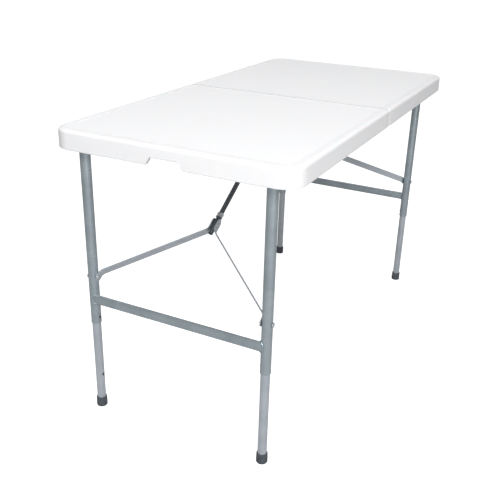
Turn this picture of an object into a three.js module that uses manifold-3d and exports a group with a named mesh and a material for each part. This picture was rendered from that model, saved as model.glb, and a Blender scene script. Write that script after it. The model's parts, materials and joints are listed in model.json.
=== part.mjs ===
// Folding picnic table: a moulded top in two halves hinged under the seam, on two folding leg
// frames with telescopic lower legs and a folding brace each. Millimetres, +Z up. The origin is on
// the floor under the middle of the top. End A is at -X; end B is the same end turned about Z.
// Left and right are as seen from outside an end, looking at the middle of the table.
import * as THREE from "three";
import { mergeVertices } from "three/addons/utils/BufferGeometryUtils.js";
import Module from "manifold-3d";

const wasm = await Module();
wasm.setup();

// ---------------------------------------------------------------- driving dimensions
const topLength = 1200;
const topWidth = 600;
const topHeight = 740;
const seamGap = 1;
const gap = 0.3; // between pieces that touch
const runningGap = 0.4; // between pieces that turn or slide

const rimDepth = 45;
const rimWall = 12;
const slabThickness = 14;
const skinThickness = 3; // left above the pockets under the slab
const cornerRadius = 50;
const seamCornerRadius = 5;
const topFillet = 8;
const seamFillet = 2;
const pocketPitch = 112;
const pocketRib = 6;
const pocketMargin = 18; // from the rim's outer face to the first pocket

const handHoldFoot = 92; // width at the rim's lower edge
const handHoldHead = 68;
const handHoldHeight = 17;

const legEndInset = 38; // top's end to the leg's centre line
const legSideInset = 66.5;
const upperLegDiameter = 25;
const upperLegWall = 1.2;
const upperLegLength = 460; // pivot to the joint bead
const lowerLegWall = 1;
const lowerLegOverlap = 70; // length inside the upper leg when fully drawn out
const legSlabClearance = 4.5; // under the slab when folded
const footSeamClearance = 8.5; // sole to the seam wall when folded
const beadHeight = 6;
const beadProud = 0.4;
const legHeadRise = 4; // upper leg above the pivot axis

const pivotTubeDiameter = 19;
const pivotTubeWall = 1.5;
const pivotTubeOverhang = 28.5; // past the leg's centre line
const legBracketWidth = 12;
const legBracketOffset = 22; // leg's centre line to the bracket's middle
const legBracketFlange = 22; // half length along the table
const legBracketThickness = 3;
const legBracketWall = 3.5; // around the bore

const crossbarReach = 392; // pivot to the crossbar's centre line
const crossbarHeight = 24;
const crossbarDepth = 11;
const crossbarWall = 1.2;

const footWall = 2.45; // around the lower leg
const footHeight = 27;
const footSole = 4;

const buttonDiameter = 7;
const buttonRise = 16; // above the joint
const buttonProud = 1.2;

const armReach = 335; // leg pivot to the rivet that holds the brace arm
const armWidth = 19;
const armThickness = 2.5;
const tongueReach = 18; // half length of the straight tongue beside the link
const tabLength = 16; // flat tab at the leg end
const linkDiameter = 12;
const linkWall = 1.8;
const linkSeamInset = 35; // seam to the link's upper pivot
const linkDrop = 12; // slab to the link's upper pivot
const linkHeadPast = 6; // link past its upper pivot
const linkTailPast = 27; // link past the knee
const lockRingDiameter = 17;
const lockRingLength = 12;
const lockRingClearance = 5; // tongue's end to the ring

const rivetDiameter = 6;
const rivetHeadDiameter = 12;
const rivetHeadHeight = 2.6;
const legRivetCollar = 0.5; // under the outer head
const linkPinHeadR = 5;
const linkPinHeadHeight = 2;
const linkBracketEar = 8; // ear's radius about the pin
const linkBracketThickness = 2;
const linkBracketFlange = 20;

const clipFromEnd = 270; // top's end to the leg clip's middle
const clipLength = 22;
const clipWall = 2;
const clipFlange = 9;

const hingeLength = 30;
const hingeSideInset = 33; // top's side to the hinge's middle
const hingeLeafHeight = 26;
const hingeLeafThickness = 2.2;
const hingePinDiameter = 4;
const hingeKnuckleDiameter = 9;
const hingePinHead = 1.5; // head's height past the knuckles
const hingePinLip = 1.2; // head's edge past the pin
const hingeEndRoom = 4; // notch past each end of the knuckles
const hingeDrop = 0.3; // pin's axis below the rim

const round = 18; // facets on legs and tubes
const fine = 10; // facets on rivets and pins

// ---------------------------------------------------------------- places worked out from them
const halfLength = topLength / 2;
const halfWidth = topWidth / 2;
const rimZ = topHeight - rimDepth;
const slabZ = topHeight - slabThickness;
const seamFace = seamGap / 2;
const legR = upperLegDiameter / 2;
const legX = -(halfLength - legEndInset);
const legY = halfWidth - legSideInset;
const legSeatY = legY + legBracketOffset;
const pivotZ = slabZ - legSlabClearance - legR;
const jointZ = pivotZ - upperLegLength;
const lowerR = legR - upperLegWall - gap;
const legTravel = pivotZ - (-legX - seamFace - rimWall - footSeamClearance);
const buttonZ = jointZ + buttonRise;
const crossbarZ = pivotZ - crossbarReach;
const crossbarX = legX - legR + crossbarDepth / 2;
const tubeR = pivotTubeDiameter / 2;
const rivetR = rivetDiameter / 2;
const rivetHeadR = rivetHeadDiameter / 2;
const hingePinR = hingePinDiameter / 2;
const linkR = linkDiameter / 2;

// The brace is straight from the arm rivet to the link's upper pivot while the table stands. Folded,
// the link lies level under the slab and the arms turn back from the knee to the rivet.
const armRivet = new THREE.Vector2(legX, pivotZ - armReach);
const linkPivot = new THREE.Vector2(-seamFace - linkSeamInset, slabZ - linkDrop);
const strut = linkPivot.clone().sub(armRivet);
const foldedX = linkPivot.x - (legX + armReach);
const foldedZ = linkPivot.y - pivotZ;
const strutLength = strut.length();
const linkLength =
  (strutLength ** 2 - foldedX ** 2 - foldedZ ** 2) / (2 * (strutLength - foldedX));
const armLength = strutLength - linkLength;
const strutAngle = Math.atan2(strut.y, strut.x);

// ---------------------------------------------------------------- solids
function toSolid(geometry) {
  const bare = geometry.index ? geometry.toNonIndexed() : geometry.clone();
  bare.deleteAttribute("normal");
  bare.deleteAttribute("uv");
  const merged = mergeVertices(bare, 1e-4);
  return new wasm.Manifold(
    new wasm.Mesh({
      numProp: 3,
      vertProperties: new Float32Array(merged.attributes.position.array),
      triVerts: new Uint32Array(merged.index.array),
    }),
  );
}

function toGeometry(solid) {
  const raw = solid.getMesh();
  const geometry = new THREE.BufferGeometry();
  geometry.setAttribute("position", new THREE.BufferAttribute(raw.vertProperties, 3));
  geometry.setIndex(new THREE.BufferAttribute(raw.triVerts, 1));
  return geometry;
}

// A turned piece about Z. The profile holds [radius, z] pairs, outside going up.
function turned(profile, facets = round) {
  const points = profile.map(([r, z]) => new THREE.Vector2(r, z));
  return new THREE.LatheGeometry(points, facets).rotateX(Math.PI / 2);
}

function rod(radius, z0, z1, facets = round) {
  return turned([[0, z0], [radius, z0], [radius, z1], [0, z1]], facets);
}

function pipe(outer, inner, z0, z1, facets = round) {
  return turned([[inner, z0], [outer, z0], [outer, z1], [inner, z1], [inner, z0]], facets);
}

// Turns a piece made along Z so that it lies along Y.
function alongY(geometry) {
  return geometry.rotateX(-Math.PI / 2);
}

// Turns a piece that points along +Y so that it points along -Y when way is negative.
function facing(way, geometry) {
  return way < 0 ? geometry.rotateX(Math.PI) : geometry;
}

function box(x0, x1, y0, y1, z0, z1) {
  const geometry = new THREE.BoxGeometry(x1 - x0, y1 - y0, z1 - z0);
  return geometry.translate((x0 + x1) / 2, (y0 + y1) / 2, (z0 + z1) / 2);
}

// A flat outline of [x, z] points, extruded along Y from y0 to y1.
function slabAlongY(shape, y0, y1) {
  const depth = y1 - y0;
  const geometry = new THREE.ExtrudeGeometry(shape, { depth, bevelEnabled: false, curveSegments: 8 });
  return geometry.rotateX(Math.PI / 2).translate(0, y1, 0);
}

function outline(points) {
  return new THREE.Shape(points.map(([x, z]) => new THREE.Vector2(x, z)));
}

// A slot shape with round ends, long along its first axis, centred on (cx, cz).
function slotShape(cx, cz, long, wide) {
  const r = wide / 2;
  const run = long / 2 - r;
  const shape = new THREE.Shape();
  shape.absarc(cx + run, cz, r, -Math.PI / 2, Math.PI / 2, false);
  shape.absarc(cx - run, cz, r, Math.PI / 2, (3 * Math.PI) / 2, false);
  return shape;
}

// A rivet or pin's shank from y0 to y1, with a domed head past each end that wants one.
function rivetProfile(radius, y0, y1, ends, headRadius = rivetHeadR, headHeight = rivetHeadHeight) {
  const profile = [];
  const dome = (y, way) => [
    [headRadius, y],
    [headRadius, y + way * headHeight * 0.4],
    [headRadius * 0.62, y + way * headHeight],
    [0, y + way * headHeight],
  ];
  if (ends.low) profile.push(...dome(y0, -1).reverse());
  else profile.push([0, y0]);
  profile.push([radius, y0], [radius, y1]);
  if (ends.high) profile.push(...dome(y1, 1));
  else profile.push([0, y1]);
  return profile;
}

// ---------------------------------------------------------------- materials
function finish(color, roughness, metalness) {
  return new THREE.MeshStandardMaterial({ color, roughness, metalness });
}

const finishes = {
  top: () => finish(0xf1f1f3, 0.55, 0),
  legPaint: () => finish(0x98a1a8, 0.38, 0.55),
  zinc: () => finish(0xb4b8ba, 0.35, 0.85),
  darkSteel: () => finish(0x4a4e52, 0.5, 0.6),
  foot: () => finish(0x3a4047, 0.7, 0),
  clip: () => finish(0xd9dadc, 0.6, 0),
};

function piece(group, name, geometry, material) {
  const mesh = new THREE.Mesh(geometry, material);
  mesh.name = name;
  group.add(mesh);
}

// ---------------------------------------------------------------- top half
// One level outline of the half: the end corners are round, the seam corners nearly square.
function topRing(inset, seamInset, z) {
  const x0 = -halfLength + inset;
  const x1 = -seamFace - seamInset;
  const y = halfWidth - inset;
  const big = cornerRadius - inset;
  const corners = [
    [x1 - seamCornerRadius, -y + seamCornerRadius, seamCornerRadius, -90, 3],
    [x1 - seamCornerRadius, y - seamCornerRadius, seamCornerRadius, 0, 3],
    [x0 + big, y - big, big, 90, 9],
    [x0 + big, -y + big, big, 180, 9],
  ];
  const ring = [];
  for (const [cx, cy, r, start, steps] of corners) {
    for (let i = 0; i <= steps; i++) {
      const angle = THREE.MathUtils.degToRad(start + (90 * i) / steps);
      ring.push([cx + r * Math.cos(angle), cy + r * Math.sin(angle), z]);
    }
  }
  return ring;
}

// A closed body through level rings of equal point count, lowest first.
function lofted(rings) {
  const count = rings[0].length;
  const positions = rings.flat(2);
  const index = [];
  for (let k = 0; k + 1 < rings.length; k++) {
    for (let i = 0; i < count; i++) {
      const a = k * count + i;
      const b = k * count + ((i + 1) % count);
      index.push(a, b, b + count, a, b + count, a + count);
    }
  }
  const last = (rings.length - 1) * count;
  for (let i = 1; i + 1 < count; i++) {
    index.push(0, i + 1, i);
    index.push(last, last + i, last + i + 1);
  }
  const geometry = new THREE.BufferGeometry();
  geometry.setAttribute("position", new THREE.Float32BufferAttribute(positions, 3));
  geometry.setIndex(index);
  return geometry;
}

function topHalfSolid() {
  const rings = [topRing(1, 0, rimZ), topRing(0, 0, rimZ + 1)];
  const steps = 4;
  for (let i = 0; i <= steps; i++) {
    const angle = (Math.PI / 2) * (i / steps);
    const inset = topFillet * (1 - Math.cos(angle));
    const seamInset = seamFillet * (1 - Math.cos(angle));
    rings.push(topRing(inset, seamInset, topHeight - topFillet * (1 - Math.sin(angle))));
  }
  let half = toSolid(lofted(rings));
  const bay = [topRing(rimWall, rimWall, rimZ - 10), topRing(rimWall, rimWall, slabZ)];
  half = half.subtract(toSolid(lofted(bay)));

  // Pockets under the slab, left out where a bracket is screwed on.
  const columns = Math.floor((halfLength - 2 * pocketMargin) / pocketPitch);
  const rows = Math.floor((topWidth - 2 * pocketMargin) / pocketPitch);
  const firstX = -(halfLength + columns * pocketPitch) / 2;
  const firstY = (-rows * pocketPitch) / 2;
  const pocketSize = pocketPitch - pocketRib;
  for (let i = 0; i < columns; i++) {
    for (let j = 0; j < rows; j++) {
      const x = firstX + i * pocketPitch + pocketRib / 2;
      const y = firstY + j * pocketPitch + pocketRib / 2;
      const holds = (px, py, reach) =>
        Math.abs(px - x - pocketSize / 2) < pocketSize / 2 + reach &&
        Math.abs(py - y - pocketSize / 2) < pocketSize / 2 + reach;
      const legHere = [legSeatY, -legSeatY].some((seatY) => holds(legX, seatY, legBracketFlange));
      if (legHere || holds(linkPivot.x, 0, linkBracketFlange)) continue;
      const pocket = box(x, x + pocketSize, y, y + pocketSize, slabZ - 1, topHeight - skinThickness);
      half = half.subtract(toSolid(pocket));
    }
  }
  return half;
}

function handHold() {
  const foot = handHoldFoot / 2;
  const head = handHoldHead / 2;
  const shape = outline([[-foot, rimZ - 1], [foot, rimZ - 1], [head, rimZ + handHoldHeight],
    [-head, rimZ + handHoldHeight]]);
  const prism = slabAlongY(shape, -rimWall - 2, rimWall + 2);
  return toSolid(prism.rotateZ(Math.PI / 2).translate(-halfLength, 0, 0));
}

// ---------------------------------------------------------------- centre hinges
const hingeAxisZ = rimZ - hingeDrop;
const knuckleR = hingeKnuckleDiameter / 2;
const hingeY = halfWidth - hingeSideInset;
const middleKnuckle = hingeLength * 0.4;
const endKnuckle = (hingeLength - middleKnuckle) / 2 - runningGap;

// The notch through a seam wall that leaves room for the knuckles and the leaf.
function hingeNotch(sideY) {
  const reach = hingeLength / 2 + hingeEndRoom;
  const depth = knuckleR + hingeLeafThickness + 1;
  const wallX = -seamFace - rimWall - 1;
  return toSolid(box(wallX, 1, sideY - reach, sideY + reach, rimZ - 2, rimZ + depth));
}

// The leaf lies against the seam wall inside the half and reaches the pin over the knuckles.
function hingeLeaf(sideY, spans) {
  const wallX = -seamFace - rimWall - gap;
  const armZ = hingeAxisZ + knuckleR - hingeLeafThickness;
  const plate = box(wallX - hingeLeafThickness, wallX, sideY - hingeLength / 2, sideY + hingeLength / 2,
    armZ, armZ + hingeLeafHeight);
  let leaf = toSolid(plate);
  for (const [y0, y1] of spans) {
    const arm = box(wallX - 1, 0, sideY + y0, sideY + y1, armZ, armZ + hingeLeafThickness);
    const knuckle = alongY(rod(knuckleR, y0, y1, fine)).translate(0, sideY, hingeAxisZ);
    leaf = leaf.add(toSolid(arm)).add(toSolid(knuckle));
  }
  const bore = alongY(rod(hingePinR + gap, -hingeLength, hingeLength, fine));
  return leaf.subtract(toSolid(bore.translate(0, sideY, hingeAxisZ)));
}

// ---------------------------------------------------------------- leg frame pieces
function buttonHole(sideY, innerWay, z) {
  const hole = facing(innerWay, alongY(rod(buttonDiameter / 2 + runningGap, 0, upperLegDiameter, fine)));
  return toSolid(hole.translate(legX, sideY, z));
}

function upperLeg(sideY, innerWay) {
  const top = pivotZ + legHeadRise;
  const bore = legR - upperLegWall;
  const proud = legR + beadProud;
  const profile = [[bore, jointZ], [legR, jointZ], [proud, jointZ + 1.2], [proud, jointZ + 3.6],
    [legR, jointZ + beadHeight], [legR, top], [bore, top], [bore, jointZ]];
  let leg = toSolid(turned(profile).translate(legX, sideY, 0));
  const cope = alongY(rod(tubeR + gap, -upperLegDiameter, upperLegDiameter));
  leg = leg.subtract(toSolid(cope.translate(legX, sideY, pivotZ)));
  return leg.subtract(buttonHole(sideY, innerWay, buttonZ));
}

// One hole meets the button with the leg drawn out, the other with it pushed in to fold.
function lowerLeg(sideY, innerWay) {
  const top = jointZ + lowerLegOverlap;
  const tube = pipe(lowerR, lowerR - lowerLegWall, footSole + gap, top);
  const leg = toSolid(tube.translate(legX, sideY, 0));
  return leg.subtract(buttonHole(sideY, innerWay, buttonZ))
    .subtract(buttonHole(sideY, innerWay, buttonZ - legTravel));
}

function footCap(sideY) {
  const bore = lowerR + gap;
  const r = bore + footWall;
  const profile = [[0, 0], [r - 2, 0], [r, 2], [r - 0.4, footHeight - 2], [r - 1.4, footHeight],
    [bore, footHeight], [bore, footSole], [0, footSole]];
  return turned(profile).translate(legX, sideY, 0);
}

// The button's low dome stands proud of the upper leg; its stem stops just off the lower leg.
function snapButton(sideY, innerWay) {
  const r = buttonDiameter / 2;
  const start = lowerR + gap / 2;
  const end = legR + buttonProud;
  const profile = [[0, start], [r, start], [r, end - 0.8], [r * 0.6, end], [0, end]];
  return facing(innerWay, alongY(turned(profile, fine))).translate(legX, sideY, buttonZ);
}

function pivotTube() {
  const reach = legY + pivotTubeOverhang;
  return alongY(pipe(tubeR, tubeR - pivotTubeWall, -reach, reach)).translate(legX, 0, pivotZ);
}

function crossbar() {
  const outer = slotShape(0, 0, crossbarHeight, crossbarDepth);
  const inner = slotShape(0, 0, crossbarHeight - 2 * crossbarWall, crossbarDepth - 2 * crossbarWall);
  outer.holes.push(inner);
  const bar = slabAlongY(outer, -legY, legY).rotateY(Math.PI / 2).translate(crossbarX, 0, crossbarZ);
  let solid = toSolid(bar);
  for (const sideY of [-legY, legY]) {
    const cope = rod(legR + gap, crossbarZ - crossbarHeight, crossbarZ + crossbarHeight);
    solid = solid.subtract(toSolid(cope.translate(legX, sideY, 0)));
  }
  return solid;
}

function legBracket(sideY) {
  const reach = legBracketFlange;
  const seat = slabZ - gap;
  const wall = tubeR + runningGap + legBracketWall;
  const shape = new THREE.Shape();
  shape.moveTo(reach, seat);
  shape.lineTo(-reach, seat);
  shape.lineTo(-reach, seat - legBracketThickness);
  shape.lineTo(-wall, seat - legBracketThickness);
  shape.lineTo(-wall, pivotZ);
  shape.absarc(0, pivotZ, wall, Math.PI, 2 * Math.PI, false);
  shape.lineTo(wall, seat - legBracketThickness);
  shape.lineTo(reach, seat - legBracketThickness);
  const middle = Math.sign(sideY) * legSeatY;
  const half = legBracketWidth / 2;
  const body = toSolid(slabAlongY(shape, middle - half, middle + half));
  const bore = alongY(rod(tubeR + runningGap, -legBracketWidth, legBracketWidth));
  return body.subtract(toSolid(bore.translate(0, middle, pivotZ))).translate([legX, 0, 0]);
}

// A springy open clip under the slab that grips the folded upper leg.
function legClip(sideY) {
  const bore = legR + runningGap;
  const outer = bore + clipWall;
  const seat = slabZ - gap;
  const shape = new THREE.Shape();
  shape.moveTo(outer + clipFlange, seat);
  shape.lineTo(-outer - clipFlange, seat);
  shape.lineTo(-outer - clipFlange, seat - clipWall);
  shape.lineTo(-outer, seat - clipWall);
  shape.lineTo(-outer, pivotZ);
  shape.lineTo(-bore, pivotZ);
  shape.absarc(0, pivotZ, bore, Math.PI, 0, true);
  shape.lineTo(outer, pivotZ);
  shape.lineTo(outer, seat - clipWall);
  shape.lineTo(outer + clipFlange, seat - clipWall);
  const clip = slabAlongY(shape, -clipLength / 2, clipLength / 2).rotateZ(Math.PI / 2);
  return clip.translate(-halfLength + clipFromEnd, sideY, 0);
}

// ---------------------------------------------------------------- brace
// Pieces of the brace are made along the strut: X from the arm rivet up to the link's pivot, Z across
// the strut's plane. This turns them into place.
function onStrut(geometry) {
  return geometry.rotateY(-strutAngle).translate(armRivet.x, 0, armRivet.y);
}

// The arm seen from above the strut: a tongue beside the link, a bend, a long run, a bend and a tab.
function braceArm(way) {
  const half = armThickness / 2;
  const tongueY = linkR + gap + half;
  const tabY = legY - legR - gap - half;
  const line = [
    new THREE.Vector2(-armWidth / 2, tabY),
    new THREE.Vector2(tabLength, tabY),
    new THREE.Vector2(armLength - tongueReach, tongueY),
    new THREE.Vector2(armLength + tongueReach, tongueY),
  ];
  const slope = Math.atan2(line[2].y - line[1].y, line[2].x - line[1].x);
  const mitre = Math.tan(slope / 2) * half;
  const upper = [];
  const lower = [];
  line.forEach((point, i) => {
    const shift = i === 1 ? -mitre : i === 2 ? mitre : 0;
    upper.push([point.x - shift, point.y + half]);
    lower.push([point.x + shift, point.y - half]);
  });
  const plan = outline([...lower, ...upper.reverse()]);
  const band = new THREE.ExtrudeGeometry(plan, { depth: armWidth, bevelEnabled: false });
  band.translate(0, 0, -armWidth / 2);
  const long = armLength + tongueReach + armWidth / 2;
  const side = slotShape(long / 2 - armWidth / 2, 0, long, armWidth);
  let arm = toSolid(band).intersect(toSolid(slabAlongY(side, -1, legY)));
  for (const x of [0, armLength]) {
    const hole = alongY(rod(rivetR + gap, -1, legY, fine)).translate(x, 0, 0);
    arm = arm.subtract(toSolid(hole));
  }
  return onStrut(facing(way, toGeometry(arm)));
}

function armRivetPiece(way) {
  const face = legY - legR - gap;
  const inner = face - armThickness - gap;
  const profile = rivetProfile(rivetR, inner, face - gap, { low: true });
  return onStrut(facing(way, alongY(turned(profile, fine))));
}

// The outer head of the leg's rivet, standing on the leg's outside.
function legRivetPiece(way) {
  const face = legY + legR + gap;
  const profile = rivetProfile(rivetR, face, face + legRivetCollar, { high: true });
  return facing(way, alongY(turned(profile, fine))).translate(armRivet.x, 0, armRivet.y);
}

function kneeRivet() {
  const face = linkR + armThickness + 2 * gap;
  const profile = rivetProfile(rivetR, -face, face, { low: true, high: true });
  return onStrut(alongY(turned(profile, fine)).translate(armLength, 0, 0));
}

function braceLink() {
  const start = armLength - linkTailPast;
  const end = strutLength + linkHeadPast;
  const tube = pipe(linkR, linkR - linkWall, start, end, 16).rotateY(Math.PI / 2);
  let link = toSolid(tube);
  for (const x of [armLength, strutLength]) {
    const hole = alongY(rod(rivetR + gap, -linkDiameter, linkDiameter, fine)).translate(x, 0, 0);
    link = link.subtract(toSolid(hole));
  }
  return onStrut(toGeometry(link));
}

function lockRing() {
  const bore = linkR + gap;
  const r = lockRingDiameter / 2;
  const start = armLength + tongueReach + lockRingClearance;
  const end = start + lockRingLength;
  const profile = [[bore, start], [r - 0.8, start], [r, start + 0.8], [r, end - 0.8], [r - 0.8, end],
    [bore, end], [bore, start]];
  return onStrut(turned(profile, 16).rotateY(Math.PI / 2));
}

function linkBracket() {
  const seat = slabZ - gap;
  const z = linkPivot.y;
  const inner = linkR + 2 * gap;
  const outer = inner + linkBracketThickness;
  const under = seat - linkBracketThickness;
  let bracket = toSolid(box(-linkBracketFlange, linkBracketFlange, -outer, outer, under, seat));
  const ear = new THREE.Shape();
  ear.moveTo(linkBracketEar, seat - 1);
  ear.lineTo(-linkBracketEar, seat - 1);
  ear.lineTo(-linkBracketEar, z);
  ear.absarc(0, z, linkBracketEar, Math.PI, 2 * Math.PI, false);
  for (const y of [-outer, inner]) {
    bracket = bracket.add(toSolid(slabAlongY(ear, y, y + linkBracketThickness)));
  }
  const hole = alongY(rod(rivetR + gap, -outer - 1, outer + 1, fine)).translate(0, 0, z);
  return bracket.subtract(toSolid(hole)).translate([linkPivot.x, 0, 0]);
}

function linkPin() {
  const face = linkR + linkBracketThickness + 3 * gap;
  const ends = { low: true, high: true };
  const profile = rivetProfile(rivetR, -face, face, ends, linkPinHeadR, linkPinHeadHeight);
  return alongY(turned(profile, fine)).translate(linkPivot.x, 0, linkPivot.y);
}

// ---------------------------------------------------------------- one end of the table
function tableEnd(end) {
  const group = new THREE.Group();
  const add = (name, geometry, material) => piece(group, name, geometry, material());
  const sides = { left: 1, right: -1 };

  let half = topHalfSolid().subtract(handHold());
  for (const way of [1, -1]) half = half.subtract(hingeNotch(way * hingeY));
  add(`top_half_${end}`, toGeometry(half), finishes.top);

  add(`pivot_tube_${end}`, pivotTube(), finishes.legPaint);
  add(`crossbar_${end}`, toGeometry(crossbar()), finishes.legPaint);
  add(`brace_link_${end}`, braceLink(), finishes.darkSteel);
  add(`lock_ring_${end}`, lockRing(), finishes.zinc);
  add(`knee_rivet_${end}`, kneeRivet(), finishes.zinc);
  add(`link_bracket_${end}`, toGeometry(linkBracket()), finishes.zinc);
  add(`link_pin_${end}`, linkPin(), finishes.zinc);

  for (const [side, way] of Object.entries(sides)) {
    const y = way * legY;
    add(`upper_leg_${end}_${side}`, toGeometry(upperLeg(y, -way)), finishes.legPaint);
    add(`lower_leg_${end}_${side}`, toGeometry(lowerLeg(y, -way)), finishes.legPaint);
    add(`foot_cap_${end}_${side}`, footCap(y), finishes.foot);
    add(`snap_button_${end}_${side}`, snapButton(y, -way), finishes.zinc);
    add(`leg_bracket_${end}_${side}`, toGeometry(legBracket(y)), finishes.zinc);
    add(`leg_clip_${end}_${side}`, legClip(y), finishes.clip);
    add(`brace_arm_${end}_${side}`, braceArm(way), finishes.zinc);
    add(`arm_rivet_${end}_${side}`, armRivetPiece(way), finishes.zinc);
    add(`leg_rivet_${end}_${side}`, legRivetPiece(way), finishes.zinc);
  }
  return group;
}

// ---------------------------------------------------------------- whole table
const table = new THREE.Group();
table.add(tableEnd("a"));
const endB = tableEnd("b");
endB.rotation.z = Math.PI;
table.add(endB);

const outerSpans = [
  [-hingeLength / 2, -hingeLength / 2 + endKnuckle],
  [hingeLength / 2 - endKnuckle, hingeLength / 2],
];
const middleSpan = [[-middleKnuckle / 2, middleKnuckle / 2]];
for (const [side, way] of [["left", 1], ["right", -1]]) {
  const y = way * hingeY;
  piece(table, `hinge_leaf_a_${side}`, toGeometry(hingeLeaf(y, outerSpans)), finishes.darkSteel());
  const leafB = toGeometry(hingeLeaf(-y, middleSpan)).rotateZ(Math.PI);
  piece(table, `hinge_leaf_b_${side}`, leafB, finishes.darkSteel());
  const reach = hingeLength / 2 + gap;
  const ends = { low: true, high: true };
  const profile = rivetProfile(hingePinR, -reach, reach, ends, hingePinR + hingePinLip, hingePinHead);
  const pin = alongY(turned(profile, fine)).translate(0, y, hingeAxisZ);
  piece(table, `hinge_pin_${side}`, pin, finishes.darkSteel());
}

export default table;
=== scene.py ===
# Folding picnic table: the finished look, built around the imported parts.
# Pieces are worked out in millimetres at end A, where the legs stand at -X; end B is end A turned
# half round about Z. Left is +Y at end A.
import bpy, bmesh, json, math
from mathutils import Matrix, Vector
from mathutils.geometry import delaunay_2d_cdt


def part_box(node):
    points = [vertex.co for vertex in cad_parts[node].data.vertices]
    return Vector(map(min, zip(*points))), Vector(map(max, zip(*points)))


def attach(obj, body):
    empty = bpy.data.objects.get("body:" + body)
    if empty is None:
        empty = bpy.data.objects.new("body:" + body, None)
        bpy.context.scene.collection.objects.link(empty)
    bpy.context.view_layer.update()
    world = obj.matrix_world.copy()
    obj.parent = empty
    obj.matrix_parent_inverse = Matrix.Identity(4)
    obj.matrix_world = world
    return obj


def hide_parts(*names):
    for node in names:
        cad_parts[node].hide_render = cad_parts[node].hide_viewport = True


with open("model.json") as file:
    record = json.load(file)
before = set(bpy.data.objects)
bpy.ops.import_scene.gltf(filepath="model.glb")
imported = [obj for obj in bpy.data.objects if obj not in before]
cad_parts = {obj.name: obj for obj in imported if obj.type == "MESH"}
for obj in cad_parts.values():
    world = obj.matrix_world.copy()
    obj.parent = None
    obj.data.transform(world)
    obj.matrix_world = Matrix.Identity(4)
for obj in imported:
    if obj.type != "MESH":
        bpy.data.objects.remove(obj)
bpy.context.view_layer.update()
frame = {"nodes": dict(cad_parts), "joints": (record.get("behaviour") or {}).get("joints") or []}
print("stage 1: frame loaded,", len(frame["nodes"]), "nodes")

mm = 0.001
gap = 0.3  # clearance between pieces that meet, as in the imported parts
endTurn = {"a": Matrix.Identity(4), "b": Matrix.Rotation(math.pi, 4, "Z")}
sideWay = {"left": 1, "right": -1}
aimY = Matrix.Rotation(-math.pi / 2, 4, "X")  # stands a lathed piece along Y
aimX = Matrix.Rotation(math.pi / 2, 4, "Y")  # lays it along X


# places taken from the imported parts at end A

def boxOf(node):
    low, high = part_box(node)
    return low / mm, high / mm


def middleOf(node):
    low, high = boxOf(node)
    return (low + high) / 2


jointAt = {j["name"]: Vector(j["pos_m"]) / mm for j in frame["joints"] if "pos_m" in j}
topLow, topHigh = boxOf("top_half_a")
upperLow, upperHigh = boxOf("upper_leg_a_left")
lowerLow, lowerHigh = boxOf("lower_leg_a_left")
tubeLow, tubeHigh = boxOf("pivot_tube_a")
barLow, barHigh = boxOf("crossbar_a")
rimZ, topZ = topLow.z, topHigh.z
legPivot, linkPivot = jointAt["leg_fold_a"], jointAt["link_fold_a"]
knee, hingeAxis = jointAt["arms_fold_a"], jointAt["centre_fold"]
legX, legY = legPivot.x, middleOf("lower_leg_a_left").y
lowerR, tubeR = (lowerHigh.y - lowerLow.y) / 2, (tubeHigh.z - tubeLow.z) / 2
jointZ = upperLow.z
armRivet = middleOf("leg_rivet_a_left")
armRivet.y = 0
strut = (linkPivot - armRivet).normalized()
strutFrame = Matrix.Translation(armRivet) @ Matrix((
    (strut.x, 0, -strut.z), (0, 1, 0), (strut.z, 0, strut.x))).to_4x4()
armLength, strutLength = (knee - armRivet).length, (linkPivot - armRivet).length
slabZ = boxOf("leg_bracket_a_left")[1].z + gap  # the bracket's flanges stop just under the slab


# mesh helpers

def newMesh(name, verts, faces, at=Matrix.Identity(4), edges=()):
    mesh = bpy.data.meshes.new(name)
    mesh.from_pydata([(at @ Vector(v)) * mm for v in verts], list(edges), faces)
    piece = bpy.data.objects.new(name, mesh)
    bpy.context.scene.collection.objects.link(piece)
    if faces:
        cleanUp(piece)
    return piece


def cleanUp(piece):  # joins doubles and points every face outwards
    work = bmesh.new()
    work.from_mesh(piece.data)
    bmesh.ops.remove_doubles(work, verts=work.verts, dist=2e-6)
    bmesh.ops.dissolve_degenerate(work, dist=1e-6, edges=work.edges)
    bmesh.ops.recalc_face_normals(work, faces=work.faces)
    work.to_mesh(piece.data)
    work.free()


def shade(piece, degrees=34):  # smooth faces, with sharp edges kept sharp
    work = bmesh.new()
    work.from_mesh(piece.data)
    for face in work.faces:
        face.smooth = True
    for edge in work.edges:
        edge.smooth = len(edge.link_faces) == 2 and edge.calc_face_angle(0) < math.radians(degrees)
    work.to_mesh(piece.data)
    work.free()


def settle(piece):  # turns the modifiers' result into the piece's own mesh
    graph = bpy.context.evaluated_depsgraph_get()
    mesh = bpy.data.meshes.new_from_object(piece.evaluated_get(graph), depsgraph=graph)
    piece.modifiers.clear()
    piece.data = mesh


def combine(piece, others, operation):  # others are used up
    for other in others:
        step = piece.modifiers.new(operation, "BOOLEAN")
        step.operation, step.object, step.solver = operation, other, "EXACT"
    settle(piece)
    for other in others:
        bpy.data.objects.remove(other)
    cleanUp(piece)


def soften(piece, width, segments=3, degrees=38):  # rounds the sharp edges
    step = piece.modifiers.new("soften", "BEVEL")
    step.width, step.segments, step.limit_method = width * mm, segments, "ANGLE"
    step.angle_limit = math.radians(degrees)
    settle(piece)


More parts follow.
